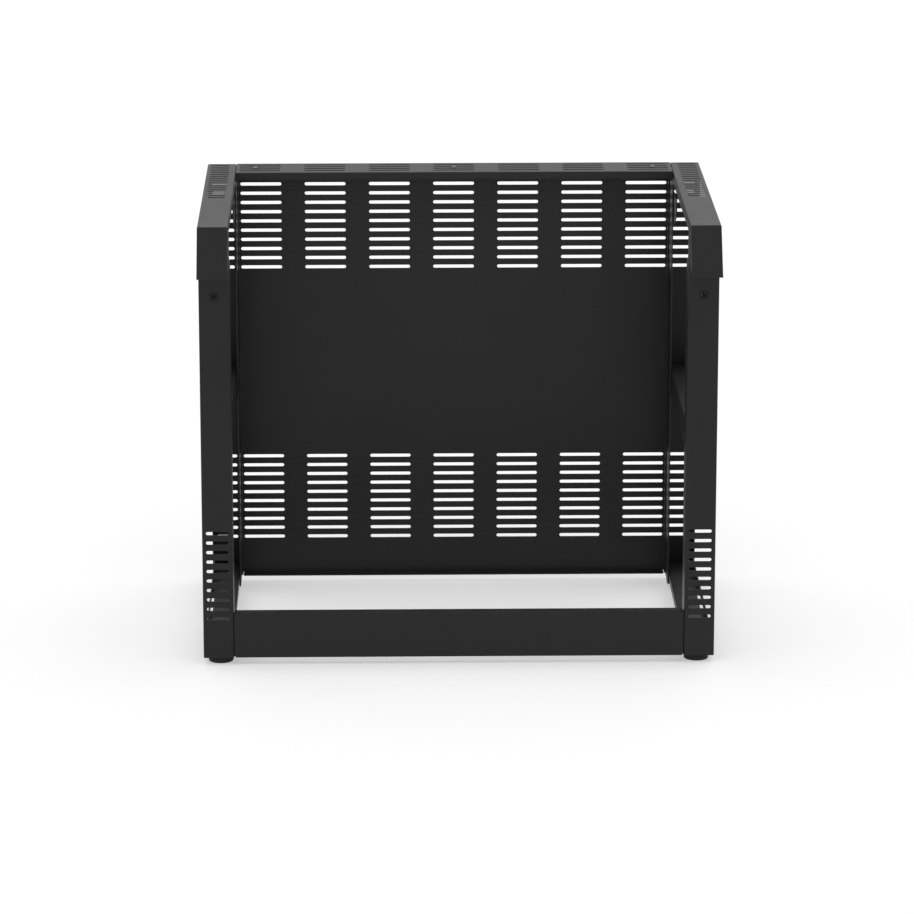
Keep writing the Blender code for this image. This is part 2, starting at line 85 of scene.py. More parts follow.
# Posts and cap, as folded
REAR_RETURN = REAR_POST_HIGH[1] - REAR_POST_LOW[1]
FRONT_RETURN = POST_HIGH[1] - POST_LOW[1]
OUTER_RETURN = 0.025
CAP_SKIRT = 0.0140
CAP_OUTER_SKIRT = 0.0060
CAP_LEG = 0.0230
HOOD_TOP = FRONT - 0.0200
HOOD_FOOT = CAP_LOW[1]
HOOD_BOTTOM = CAP_LOW[2]
PANEL_SIDE_FLANGE = 0.015
PANEL_FOOT_FLANGE = 0.013
KICK_END_RETURN = 0.0125
KICK_END_BEND = 0.0016
KICK_END_REACH = 0.0008  # past the plain ends of the flanges, towards the posts
BRACE_FOOT_FLANGE = 0.010
SILL_UPSTAND_FOOT = BASE + 0.0140
SILL_SLOT_TOP = BASE + 0.0172
SILL_SLOT_EDGE = 0.0040
SILL_SLOT_LENGTH = 0.085

# Slots
SLOT_HEIGHT = 0.0040
SLOT_PITCH = 0.01152
SLOT_ROWS = 10
LOW_SLOT_HEIGHT = 0.0481
TOP_SLOT_DROP = 0.0252
PANEL_SLOT = 0.0500
PANEL_COLUMNS = 7
COLUMN_PITCH = 0.07856
POST_SLOT = 0.0265
CAP_SLOT = 0.0229
CAP_SLOT_MIDDLE = POST_MIDDLE + 0.0020
CAP_SLOT_ROWS = 18
RAIL_SLOT_ROWS = 4
FIRST_TOP_SLOT = 0.0100
SLOT_END_STEPS = 8  # per half of a round end
COLLAR = 0.0006  # ring of faces round each slot
SAME_LINE = 1e-5  # grid lines nearer than this are made one
CAGE_HOLE = 0.0095
CAGE_HEIGHT = BASE + 0.4350

# Round a slot, out to where the next grid line runs
POST_SLOT_SIDE = 0.0015
TOP_SLOT_SIDE = 0.0010
CAGE_CELL = SLOT_PITCH * 1.4
PANEL_CELL = COLUMN_PITCH - 0.004
CAGE_CORNER = 0.0006  # corner radius of the square hole

# Cap
CAP_PROFILE_BEND = BEND * 1.15  # a little more than across, so that the two bends never cross
CHEEK_REAR_GAP = 0.0006
SEAT_GAP = 0.0003

# Feet
PAD_SOLE = (0.35, 0.62, 0.8)  # rings of the flat sole, as shares of the pad's radius
PAD_EDGE = 0.0011
PAD_EDGE_STEPS = 6
PAD_WALL_STEPS = 36
PAD_GROOVE = 0.0005
PAD_GROOVES = 3
PAD_RIM = 0.0018  # from the wall in to the first ring of the flat top
PAD_SOCKET_GAP = 0.0002
PAD_SOCKET_SHOULDER = 0.0016
PAD_SOCKET_EDGE = 0.0004
PAD_SOCKET_FLOOR = 0.6  # last ring of the socket's floor, as a share of its radius
PAD_STEPS = 56
THREAD_PITCH = 0.00125
THREAD_DEPTH = 0.0006
STUD_WALL_STEPS = 120
STUD_END = 0.0004  # chamfer height, and the thread's fade at each end
STUD_TIP = 0.0009  # from the crest of the thread in to the flat end
STUD_SOCKET_APOTHEM = 0.0020
STUD_SOCKET_DEPTH = 0.0022
STUD_STEPS = 36
NUT_BORE_GAP = 0.0003
NUT_EDGE = 0.0004
NUT_FACE = 0.97  # flat end face, as a share of the apothem
NUT_STEPS = 72

# Screws
SCREW_STEPS = 36
SCREW_HEAD = 0.0012
SCREW_HEAD_STEPS = 6
SCREW_SHANK = 0.0016
SCREW_TIP = 0.7  # flat end, as a share of the shank
SCREW_CROWN = 0.48  # flat crown, as a share of the head
SCREW_SOCKET_MOUTH = 0.30  # apothems, as shares of the head's radius
SCREW_SOCKET_FLOOR = 0.26
SCREW_SOCKET_DEPTH = 0.0007
SCREW_END = 0.0005
CAGE_SCREW_RADIUS = 0.0023
CAGE_SCREW_FACE = 0.88  # flat face and socket, as shares of the radius
CAGE_SCREW_SOCKET = 0.5
CAGE_SCREW_EDGE = 0.0003
CAGE_SCREW_SET_BACK = 0.0012
CAGE_SCREW_SOCKET_DEPTH = 0.0025

# Finishes
COAT_DARK = (0.0095, 0.0095, 0.0098)
COAT_LIGHT = (0.0115, 0.0115, 0.0118)
DUST_COLOUR = (0.16, 0.155, 0.145)
COAT_ROUGHNESS = 0.42
COAT_ROUGHNESS_SPREAD = 0.02
COAT_SPECULAR = 0.22
ZINC_SHADES = (0.50, 0.51, 0.52), (0.62, 0.62, 0.60)
BLACKENED_SHADES = (0.017, 0.017, 0.018), (0.024, 0.024, 0.023)
SCREW_SHADES = (0.16, 0.16, 0.165), (0.30, 0.30, 0.295)
RUBBER_SHADES = (0.010, 0.010, 0.010), (0.017, 0.017, 0.016)

# Grain and dust
PEEL_SHARE = 0.7
GRIT_SHARE = 0.3
CLOUD_SCALE = 9.0
UPWARD_POWER = 3.0
NOISE_LOW, NOISE_HIGH = 0.3, 0.7  # where nearly all of a noise lies

# ------------------------------------------------------------------ meshes


def hand(side):
    return "right" if side > 0 else "left"


def under_middle(low, high):
    """The point at height 0 under the middle of a box."""
    return (low[0] + high[0]) / 2, (low[1] + high[1]) / 2, 0


def mesh_piece(name, points, faces, material):
    mesh = bpy.data.meshes.new(name)
    mesh.from_pydata(np.asarray(points).tolist(), [], faces)
    mesh.update()
    piece = bpy.data.objects.new(name, mesh)
    bpy.context.scene.collection.objects.link(piece)
    piece.data.materials.append(material)
    return piece


def thicken(piece, thickness=SHEET):
    """Gives an open surface its wall, inwards, and eases every cut edge."""
    wall = piece.modifiers.new("wall", "SOLIDIFY")
    wall.thickness = thickness
    wall.offset = -1
    wall.use_even_offset = True
    ease = piece.modifiers.new("eased edges", "BEVEL")
    ease.width = EDGE_EASE
    ease.segments = EASE_STEPS
    ease.limit_method = "ANGLE"
    ease.angle_limit = EASE_FROM
    ease.use_clamp_overlap = False
    return piece


def fold_line(corners, radius=BEND, steps=BEND_STEPS):
    """A line through the corners, with each inner corner rounded to an arc that touches both its runs.

    Gives the distance along the line and the two coordinates of its points. The arc's points are
    centre + radius * (cos, sin) of an even share of the turn.
    """
    corners = np.array(corners, float)
    points = [corners[:1]]
    for before, corner, after in zip(corners, corners[1:], corners[2:]):
        inward = (before - corner) / np.linalg.norm(before - corner)
        outward = (after - corner) / np.linalg.norm(after - corner)
        half = math.acos(np.clip(inward @ outward, -1, 1)) / 2
        bisector = (inward + outward) / np.linalg.norm(inward + outward)
        centre = corner + bisector * radius / math.sin(half)
        start = corner + inward * radius / math.tan(half) - centre
        end = corner + outward * radius / math.tan(half) - centre
        share = np.linspace(0, 1, steps + 1)[:, None]
        turn = math.pi - 2 * half
        arc = (start * np.sin((1 - share) * turn) + end * np.sin(share * turn)) / math.sin(turn)
        points.append(centre + arc)
    points.append(corners[-1:])
    points = np.concatenate(points)
    lengths = np.linalg.norm(np.diff(points, axis=0), axis=1)
    return np.concatenate([[0], np.cumsum(lengths)]), points


def on_line(line, distance):
    """The two coordinates at a distance along a fold line."""
    lengths, points = line
    return np.interp(distance, lengths, points[:, 0]), np.interp(distance, lengths, points[:, 1])


def reach_on_face(line, x, y):
    """The distance along a fold line of the point (x, y), which lies on one of its straight runs."""
    lengths, points = line
    start, end = points[:-1], points[1:]
    run = end - start
    share = np.clip(((np.array([x, y]) - start) * run).sum(1) / (run * run).sum(1), 0, 1)
    gap = np.linalg.norm(start + share[:, None] * run - np.array([x, y]), axis=1)
    best = int(np.argmin(gap))
    return lengths[best] + share[best] * (lengths[best + 1] - lengths[best])


def round_corners(length, height, radius, steps):
    """Four quarter arcs, anticlockwise from (+,+): each corner's centre plus radius * (cos, sin)."""
    sign = np.array([(1, 1), (-1, 1), (-1, -1), (1, -1)])
    centre = sign * (length / 2 - radius, height / 2 - radius)
    turn = np.linspace(0, math.pi / 2, steps + 1) + np.arange(4)[:, None] * math.pi / 2
    return centre[:, None] + radius * np.stack([np.cos(turn), np.sin(turn)], 2)


def slot_outline(length, height, steps=SLOT_END_STEPS):
    """A slot with half-round ends, a quarter at a time: (+,+), (-,+), (-,-), (+,-)."""
    return round_corners(length, height, min(height, length) / 2, steps)


def slot_ring(length, height):
    """A slot's outline and its collar."""
    return slot_outline(length, height), slot_outline(length + 2 * COLLAR, height + 2 * COLLAR)


def square_outline(size, corner, steps=4):
    """A square with small round corners, a quarter at a time."""
    return round_corners(size, size, corner, steps)


def grid_sheet(across, along, holes, place, missing=None, turned=False):
    """The points and faces of a sheet on a grid of distances across and along it.

    holes lists (centres, outline, collar). In the grid cell round each centre a ring of faces joins the
    outline to the collar, a wider outline round it. Every quarter of the collar is fanned to the cell's
    corner on that side, and neighbouring quarters are joined by one face along the cell's edge. place
    turns arrays of the two distances into points.
    """
    across, along = np.asarray(across), np.asarray(along)
    columns, rows = len(across), len(along)
    u, v = np.meshgrid(across, along, indexing="ij")
    points = [np.stack(np.broadcast_arrays(*place(u.ravel(), v.ravel())), 1)]
    number = np.arange(columns * rows).reshape(columns, rows)
    keep = np.ones((columns - 1, rows - 1), bool)
    if missing is not None:
        middle_u = (across[:-1] + across[1:])[:, None] / 2
        middle_v = (along[:-1] + along[1:])[None, :] / 2
        keep &= ~missing(*np.broadcast_arrays(middle_u, middle_v))
    faces = []
    count = columns * rows
    for centres, outline, collar in holes:
        centres = np.asarray(centres, float)
        cell_u = np.searchsorted(across, centres[:, 0]) - 1
        cell_v = np.searchsorted(along, centres[:, 1]) - 1
        keep[cell_u, cell_v] = False
        steps = outline.shape[1]
        flat = (centres[:, None, None, None, :] + np.stack([outline, collar])[None]).reshape(-1, 2)
        points.append(np.stack(np.broadcast_arrays(*place(flat[:, 0], flat[:, 1])), 1))
        both = count + np.arange(len(flat)).reshape(len(centres), 2, 4 * steps)
        count += len(flat)
        rim, wide = both[:, 0], both[:, 1]
        band = np.stack([rim, wide, np.roll(wide, -1, 1), np.roll(rim, -1, 1)], 2)
        faces += band.reshape(-1, 4).tolist()
        index = wide.reshape(len(centres), 4, steps)
        corner = np.stack(
            [
                number[cell_u + 1, cell_v + 1],
                number[cell_u, cell_v + 1],
                number[cell_u, cell_v],
                number[cell_u + 1, cell_v],
            ],
            1,
        )
        for quarter in range(4):
            following = (quarter + 1) % 4
            fan = np.stack(
                [
                    np.repeat(corner[:, quarter, None], steps - 1, 1),
                    index[:, quarter, 1:],
                    index[:, quarter, :-1],
                ],
                2,
            )
            faces += fan.reshape(-1, 3).tolist()
            corners = [corner[:, quarter], corner[:, following]]
            ends = [index[:, following, 0], index[:, quarter, -1]]
            faces += np.stack(corners + ends, 1).tolist()
    i, j = np.nonzero(keep)
    plain = np.stack([number[i, j], number[i + 1, j], number[i + 1, j + 1], number[i, j + 1]], 1)
    faces += plain.tolist()
    if turned:
        faces = [face[::-1] for face in faces]
    return np.concatenate(points), faces


def used_only(points, faces):
    """The same faces without the points that none of them uses."""
    used = np.unique(np.concatenate([np.asarray(face) for face in faces]))
    renumber = np.full(len(points), -1)
    renumber[used] = np.arange(len(used))
    return points[used], [renumber[face].tolist() for face in faces]


def cell_lines(centres, size):
    """Grid lines halfway between neighbouring centres, and half a size outside the end ones."""
    centres = np.sort(np.asarray(centres, float))
    between = (centres[:-1] + centres[1:]) / 2
    return np.concatenate([[centres[0] - size / 2], between, [centres[-1] + size / 2]])


def merged(*groups):
    """Grid lines in order, each only once."""
    lines = np.sort(np.concatenate([np.asarray(group, float).ravel() for group in groups]))
    return lines[np.concatenate([[True], np.diff(lines) > SAME_LINE])]


def cross(first, second):
    """Every pair of a first and a second value."""
    return np.array([(a, b) for a in first for b in second])


# ------------------------------------------------------------------ slot places

LOW_ROWS = BASE + LOW_SLOT_HEIGHT + SLOT_PITCH * np.arange(SLOT_ROWS)
HIGH_ROWS = TOP - TOP_SLOT_DROP - SLOT_PITCH * np.arange(SLOT_ROWS)
COLUMNS = COLUMN_PITCH * (np.arange(PANEL_COLUMNS) - (PANEL_COLUMNS - 1) / 2)


def top_rows(count):
    return REAR - FIRST_TOP_SLOT - SLOT_PITCH * np.arange(count)


# ------------------------------------------------------------------ sheet pieces


def post(side, end, material):
    """A corner post: outer return, slotted face and inner return, folded along its height."""
    word = hand(side)
    node = f"{end}_post_{word}"
    low, high = node_box(node)
    inward = 1 if end == "front" else -1
    face = low[1] if end == "front" else high[1]
    inner_return = FRONT_RETURN if end == "front" else REAR_RETURN
    line = fold_line(
        [
            (side * SIDE, face + inward * OUTER_RETURN),
            (side * SIDE, face),
            (side * INNER, face),
            (side * INNER, face + inward * inner_return),
        ]
    )
    middle = reach_on_face(line, side * POST_MIDDLE, face)
    edge = POST_SLOT / 2 + POST_SLOT_SIDE
    rows = LOW_ROWS if end == "front" else np.concatenate([LOW_ROWS, HIGH_ROWS])
    lines_up = [cell_lines(LOW_ROWS, SLOT_PITCH)]
    if end == "rear":
        lines_up.append(cell_lines(HIGH_ROWS, SLOT_PITCH))
    holes = [(cross([middle], rows), *slot_ring(POST_SLOT, SLOT_HEIGHT))]
    if end == "front":
        lines_up.append(CAGE_HEIGHT + CAGE_CELL * np.array([-0.5, 0.5]))
        wide = square_outline(CAGE_HOLE + 2 * COLLAR, CAGE_CORNER + COLLAR)
        holes.append((cross([middle], [CAGE_HEIGHT]), square_outline(CAGE_HOLE, CAGE_CORNER), wide))
    points, faces = grid_sheet(
        merged(line[0], [middle - edge, middle + edge]),
        merged([low[2], high[2]], *lines_up),
        holes,
        lambda u, v: (*on_line(line, u), v),
        turned=(side > 0) == (end == "front"),
    )
    piece = thicken(mesh_piece(f"{end}_post_sheet_{word}", points, faces, material))
    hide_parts(node)
    return piece


def back_panel(material):
    """The back panel: side flanges folded in plan, and a notched foot flange folded in section."""
    edge = PANEL_HIGH[0]
    flange = REAR - PANEL_SIDE_FLANGE
    plan = fold_line([(-edge, flange), (-edge, REAR), (edge, REAR), (edge, flange)])
    section = fold_line([(REAR, PANEL_HIGH[2]), (REAR, BASE), (REAR - PANEL_FOOT_FLANGE, BASE)])
    columns = [reach_on_face(plan, x, REAR) for x in COLUMNS]
    rows = PANEL_HIGH[2] - np.concatenate([LOW_ROWS, HIGH_ROWS])
    blocks = rows[:SLOT_ROWS], rows[SLOT_ROWS:]
    flat_from, flat_to = reach_on_face(plan, BEND - edge, REAR), reach_on_face(plan, edge - BEND, REAR)
    fold_from = PANEL_HIGH[2] - BASE - BEND

    def place(u, v):
        x, y = on_line(plan, u)
        inset, z = on_line(section, v)
        return x, y + inset - REAR, z

    def notch(u, v):
        return (v > fold_from) & ((u < flat_from) | (u > flat_to))

    points, faces = grid_sheet(
        merged(plan[0], cell_lines(columns, PANEL_CELL)),
        merged(section[0], *(cell_lines(block, SLOT_PITCH) for block in blocks)),
        [(cross(columns, rows), *slot_ring(PANEL_SLOT, SLOT_HEIGHT))],
        place,
        missing=notch,
    )
    piece = thicken(mesh_piece("back_panel_sheet", *used_only(points, faces), material))
    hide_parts("back_panel")
    return piece


def rear_top_rail(material):
    """The slotted rail across the top at the back, with a lip folded down along its front edge."""
    section = fold_line([(REAR, RAIL_HIGH[2]), (RAIL_LOW[1], RAIL_HIGH[2]), (RAIL_LOW[1], RAIL_LOW[2])])
    rows = REAR - top_rows(RAIL_SLOT_ROWS)
    slot_side = PANEL_SLOT / 2 + TOP_SLOT_SIDE
    points, faces = grid_sheet(
        merged(section[0], cell_lines(rows, SLOT_PITCH)),
        merged([RAIL_LOW[0], RAIL_HIGH[0]], COLUMNS - slot_side, COLUMNS + slot_side),
        [(cross(rows, COLUMNS), *slot_ring(SLOT_HEIGHT, PANEL_SLOT))],
        lambda u, v: (v, *on_line(section, u)),
    )
    piece = thicken(mesh_piece("rear_top_rail_sheet", points, faces, material))
    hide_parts("rear_top_rail")
    return piece


def kick_plate(material):
    """The kick plate: top and foot flanges folded in section, and small end returns folded in plan."""
    edge = KICK_HIGH[0] + KICK_END_REACH
    behind = FRONT + KICK_END_RETURN
    plan = fold_line([(-edge, behind), (-edge, FRONT), (edge, FRONT), (edge, behind)], KICK_END_BEND)
    top, foot, rear = KICK_HIGH[2], KICK_LOW[2], KICK_HIGH[1]
    section = fold_line([(rear, top), (FRONT, top), (FRONT, foot), (rear, foot)])
    flat_from = reach_on_face(plan, KICK_END_BEND - edge, FRONT)
    flat_to = reach_on_face(plan, edge - KICK_END_BEND, FRONT)
    face_from = reach_on_face(section, FRONT, top - BEND)
    face_to = reach_on_face(section, FRONT, foot + BEND)

    def place(u, v):
        x, y = on_line(plan, u)
        inset, z = on_line(section, v)
        return x, y + inset - FRONT, z

    def notch(u, v):
        return ((v < face_from) | (v > face_to)) & ((u < flat_from) | (u > flat_to))

    points, faces = grid_sheet(plan[0], section[0], [], place, missing=notch, turned=True)
    piece = thicken(mesh_piece("kick_plate_sheet", *used_only(points, faces), material))
    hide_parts("kick_plate")
    return piece


def side_sill(side, material):
    """The low side rail: inner leg, shelf and outer upstand, with the tab slot left out of the fold."""
    word = hand(side)
    low, high = SILL_LOW, SILL_HIGH
    outer = high[0] - SHEET
    line = fold_line(
        [
            (side * low[0], low[2]),
            (side * low[0], SILL_UPSTAND_FOOT),
            (side * outer, SILL_UPSTAND_FOOT),
            (side * outer, high[2]),
        ]
    )
    slot_from = reach_on_face(line, side * (high[0] - SILL_SLOT_EDGE), SILL_UPSTAND_FOOT)
    slot_to = reach_on_face(line, side * outer, SILL_SLOT_TOP)
    middle = (low[1] + high[1]) / 2
    slot_low, slot_high = middle - SILL_SLOT_LENGTH / 2, middle + SILL_SLOT_LENGTH / 2

    def tab_slot(u, v):
        return (u > slot_from) & (u < slot_to) & (v > slot_low) & (v < slot_high)

    def place(u, v):
        x, z = on_line(line, u)
        return x, v, z

    points, faces = grid_sheet(
        merged(line[0], [slot_from, slot_to]),
        merged([low[1], slot_low, slot_high, high[1]]),
        [],
        place,
        missing=tab_slot,
        turned=side < 0,
    )
    piece = thicken(mesh_piece(f"side_sill_sheet_{word}", *used_only(points, faces), material))
    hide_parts(f"side_sill_{word}")
    return piece


def side_brace(side, material):
    """The mid-height channel: top flange, web and foot flange, open outwards."""
    word = hand(side)
    low, high = BRACE_LOW, BRACE_HIGH
    line = fold_line(
        [
            (side * high[0], high[2]),
            (side * low[0], high[2]),
            (side * low[0], low[2]),
            (side * (low[0] + BRACE_FOOT_FLANGE), low[2]),
        ]
    )

    def place(u, v):
        x, z = on_line(line, u)
        return x, v, z

    points, faces = grid_sheet(line[0], np.array([low[1], high[1]]), [], place, turned=side > 0)
    piece = thicken(mesh_piece(f"side_brace_sheet_{word}", points, faces, material))
    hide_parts(f"side_brace_{word}")
    return piece


def side_cap(side, material):
    """The side cap: a ribbon carried along its side profile, with a cheek closing it on both sides.

    Across the ribbon, a point at turn t of an edge bend lies BEND * (1 - sin t) in from the side plane
    and BEND * (1 - cos t) in along the profile's inward normal. Each cheek is one flat face that shares
    the bend's last row of points.
    """
    word = hand(side)
    corners = [(REAR, TOP - CAP_SKIRT), (REAR, TOP), (HOOD_TOP, TOP), (HOOD_FOOT, HOOD_BOTTOM)]
    profile = fold_line(corners, CAP_PROFILE_BEND)
    lengths = profile[0]
    turn = np.linspace(math.pi / 2, 0, BEND_STEPS + 1)
    width = SIDE - CAP_INNER
    middle = CAP_SLOT_MIDDLE - CAP_INNER
    slot_side = CAP_SLOT / 2 + TOP_SLOT_SIDE
    slot_sides = [middle - slot_side, middle + slot_side]
    first = BEND * (1 - np.sin(turn))
    depth = BEND * (1 - np.cos(turn))
    across = np.concatenate([first, slot_sides, (width - first)[::-1]])
    inset = np.concatenate([depth, [0, 0], depth[::-1]])
    level = np.arange(len(across), dtype=float)
    rows = np.array([reach_on_face(profile, y, TOP) for y in top_rows(CAP_SLOT_ROWS)])
    along = merged(lengths, cell_lines(rows, SLOT_PITCH))
    slot_level = BEND_STEPS + 1 + 0.5

    def place(u, v):
        y, z = on_line(profile, v)
        step = 1e-6
        y0, z0 = on_line(profile, np.clip(v - step, 0, lengths[-1]))
        y1, z1 = on_line(profile, np.clip(v + step, 0, lengths[-1]))
        slope = np.hypot(y1 - y0, z1 - z0)
        x = np.interp(u, level, across)
        deep = np.interp(u, level, inset)
        return side * (CAP_INNER + x), y + deep * (z0 - z1) / slope, z + deep * (y1 - y0) / slope

    level_size = np.array([2 * slot_side, 1.0])
    outline, collar = (ring / level_size for ring in slot_ring(CAP_SLOT, SLOT_HEIGHT))
    centres = cross([slot_level], rows)
    points, faces = grid_sheet(level, along, [(centres, outline, collar)], place, turned=side > 0)
    count = len(along)
    rear_in, front_in = REAR - SHEET - CHEEK_REAR_GAP, FRONT - SEAT_GAP
    post_top = POST_HIGH[2] + SEAT_GAP
    cheeks = (0, CAP_SKIRT, side > 0), (len(level) - 1, CAP_OUTER_SKIRT, side < 0)
    for first_row, skirt, flip in cheeks:
        lower = [
            (front_in, HOOD_BOTTOM),
            (front_in, post_top),
            (FRONT + CAP_LEG, post_top),
            (FRONT + CAP_LEG, TOP - skirt),
            (rear_in, TOP - skirt),
        ]
        if skirt != CAP_SKIRT:
            lower.append((rear_in, TOP - CAP_SKIRT))
        x = side * (CAP_INNER + across[first_row])
        start = len(points)
        points = np.concatenate([points, [(x, y, z) for y, z in lower]])
        cheek = [*range(first_row * count, (first_row + 1) * count), *range(start, len(points))]
        faces.append(cheek[::-1] if flip else cheek)
    piece = thicken(mesh_piece(f"side_cap_sheet_{word}", points, faces, material), CAP_SHEET)
    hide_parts(f"side_cap_{word}")
    return piece


# ------------------------------------------------------------------ turned pieces


def angles(steps):
    return np.arange(steps) * 2 * math.pi / steps


def hexagon(apothem, turn):
    """A hexagon's radius at each angle: apothem over the cosine of the angle off the nearest flat."""
    return apothem / np.cos((turn + math.pi / 6) % (math.pi / 3) - math.pi / 6)


def ringed(name, radii, heights, centre, material, loop=False, facing="up"):
    """A surface of rings: row i holds (radii[i] cos a, radii[i] sin a, heights[i]) for every angle a.

    Both arrays are rows by angles. The rows run from the foot up the outside, and are closed by a point
    at each end or, as a loop, by joining the last row to the first. Facing front turns +Z round to -Y.
    """
    radii, heights = np.broadcast_arrays(radii, heights)
    rows, steps = radii.shape
    turn = angles(steps)
    points = np.stack([radii * np.cos(turn), radii * np.sin(turn), heights], 2).reshape(-1, 3)
    number = np.arange(rows * steps).reshape(rows, steps)
    lower = number if loop else number[:-1]
    upper = np.roll(number, -1, axis=0) if loop else number[1:]
    faces = np.stack([lower, np.roll(lower, -1, 1), np.roll(upper, -1, 1), upper], 2)
    faces = faces.reshape(-1, 4).tolist()
    if not loop:
        poles = np.array([(0, 0, heights[0].mean()), (0, 0, heights[-1].mean())])
        points = np.concatenate([points, poles])
        foot = np.full(steps, rows * steps)
        faces += np.stack([np.roll(number[0], -1), number[0], foot], 1).tolist()
        faces += np.stack([number[-1], np.roll(number[-1], -1), foot + 1], 1).tolist()
    if facing == "front":
        points = points[:, [0, 2, 1]] * (1, -1, 1)
    return mesh_piece(name, points + np.asarray(centre), faces, material)


def smooth(piece, limit=35):
    """Smooth shading on gentle edges only."""
    piece.data.shade_smooth()
    piece.data.set_sharp_from_angle(angle=math.radians(limit))
    return piece


def foot_pad(place, material):
    """The rubber pad: a turned outline with a round edge, grip grooves and the socket of the stud.

    The outside radius is the pad's, less a groove depth times a raised cosine of the height, cubed.
    """
    low, high = node_box(f"foot_pad_{place}")
    stud_low, stud_high = node_box(f"foot_stud_{place}")
    radius = (high[0] - low[0]) / 2
    socket = (stud_high[0] - stud_low[0]) / 2 + PAD_SOCKET_GAP
    height = high[2]
    climb = np.linspace(PAD_EDGE, height - PAD_EDGE, PAD_WALL_STEPS + 1)
    share = (climb - climb[0]) / (climb[-1] - climb[0])
    groove = PAD_GROOVE * ((1 - np.cos(2 * math.pi * PAD_GROOVES * share)) / 2) ** 3
    corner = np.linspace(0, math.pi / 2, PAD_EDGE_STEPS)[:-1]
    floor = stud_low[2] - PAD_SOCKET_GAP
    outline = [
        (radius * np.array(PAD_SOLE), np.zeros(len(PAD_SOLE))),
        (radius - PAD_EDGE * (1 - np.sin(corner)), PAD_EDGE * (1 - np.cos(corner))),
        (radius - groove, climb),
        (radius - PAD_EDGE * (1 - np.cos(corner[1:])), height - PAD_EDGE * (1 - np.sin(corner[1:]))),
        ([radius - PAD_RIM, socket + PAD_SOCKET_SHOULDER], [height, height]),
        ([socket + PAD_SOCKET_EDGE, socket], [height, height - PAD_SOCKET_EDGE]),
        ([socket, socket * PAD_SOCKET_FLOOR], [floor, floor]),
    ]
    radii = np.concatenate([np.asarray(r, float) for r, _ in outline])[:, None]
    heights = np.concatenate([np.asarray(z, float) for _, z in outline])[:, None]
    centre = under_middle(low, high)
    piece = ringed(f"foot_pad_turned_{place}", radii + np.zeros(PAD_STEPS), heights, centre, material)
    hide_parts(f"foot_pad_{place}")
    return smooth(piece)


def foot_stud(place, material):
    """The levelling stud: a helical thread with plain ends and a hexagon socket in its top.

    The radius is the stud's less the thread depth times the distance, in half pitches, from the crest
    of a helix that climbs one pitch a turn. The depth grows from nothing to full over a pitch at each
    end.
    """
    low, high = node_box(f"foot_stud_{place}")
    radius = (high[0] - low[0]) / 2
    turn = angles(STUD_STEPS)
    climb = np.linspace(low[2] + STUD_END, high[2] - STUD_END, STUD_WALL_STEPS + 1)[:, None]
    phase = (climb / THREAD_PITCH - turn / (2 * math.pi)) % 1
    ends = np.clip(np.minimum(climb - climb[0], climb[-1] - climb) / THREAD_PITCH, 0, 1)
    thread = radius - THREAD_DEPTH * (1 - np.abs(2 * phase - 1)) * ends - STUD_END * (1 - ends)
    tip = np.full(STUD_STEPS, radius - STUD_TIP)
    socket = hexagon(STUD_SOCKET_APOTHEM, turn)
    radii = np.concatenate([[tip], thread, [tip, socket, socket]])
    top = high[2]
    heights = np.concatenate([[low[2]], climb[:, 0], [top, top, top - STUD_SOCKET_DEPTH]])[:, None]
    centre = under_middle(low, high)
    piece = ringed(f"foot_stud_threaded_{place}", radii, heights, centre, material)
    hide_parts(f"foot_stud_{place}")
    return smooth(piece, limit=50)


def foot_nut(place, material):
    """The weld nut: a hexagon round a plain bore, its corners taken off at 30 degrees on both ends."""
    low, high = node_box(f"foot_nut_{place}")
    stud_low, stud_high = node_box(f"foot_stud_{place}")
    turn = angles(NUT_STEPS)
    corner = max(high[0] - low[0], high[1] - low[1]) / 2
    apothem = corner * math.cos(math.pi / 6)
    bore = (stud_high[0] - stud_low[0]) / 2 + NUT_BORE_GAP
    turn_from = 0 if high[0] - low[0] > high[1] - low[1] else math.pi / 6
    outside = hexagon(apothem, turn + math.pi / 6 + turn_from)
    drop = (outside - apothem) * math.tan(math.pi / 6)
    face = np.full(NUT_STEPS, apothem * NUT_FACE)
    inside = np.full(NUT_STEPS, bore)
    mouth = inside + NUT_EDGE
    radii = np.array([mouth, face, outside, outside, face, mouth, inside, inside])
    level = np.ones(NUT_STEPS)
    heights = np.array(
        [
            level * low[2],
            level * low[2],
            low[2] + drop,
            high[2] - drop,
            level * high[2],
            level * high[2],
            level * (high[2] - NUT_EDGE),
            level * (low[2] + NUT_EDGE),
        ]
    )
    centre = under_middle(low, high)
    piece = ringed(f"foot_nut_hexagon_{place}", radii, heights, centre, material, loop=True)
    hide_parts(f"foot_nut_{place}")
    return smooth(piece, limit=25)


def rail_screw(number, material):
    """A button-headed screw: a quarter ellipse with a hexagon socket, on a plain shank."""
    node = f"rail_screw_{number}"
    low, high = node_box(node)
    turn = angles(SCREW_STEPS)
    ring = np.ones(SCREW_STEPS)
    radius = (high[0] - low[0]) / 2
    seat = high[2] - SCREW_HEAD
    quarter = np.linspace(0, math.pi / 2, SCREW_HEAD_STEPS + 1)[:-1]
    head = np.concatenate([np.cos(quarter), [SCREW_CROWN]])
    rise = np.concatenate([np.sin(quarter), [1.0]])
    radii = np.concatenate(
        [
            [ring * SCREW_SHANK * SCREW_TIP, ring * SCREW_SHANK, ring * SCREW_SHANK],
            radius * np.maximum(head, SCREW_CROWN)[:, None] * ring,
            [hexagon(radius * SCREW_SOCKET_MOUTH, turn), hexagon(radius * SCREW_SOCKET_FLOOR, turn)],
        ]
    )
    foot = [low[2], low[2] + SCREW_END, seat]
    heights = np.concatenate([foot, seat + SCREW_HEAD * rise, [high[2], high[2] - SCREW_SOCKET_DEPTH]])
    centre = under_middle(low, high)
    piece = ringed(f"rail_screw_turned_{number}", radii, heights[:, None], centre, material)
    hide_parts(node)
    return smooth(piece, limit=30)


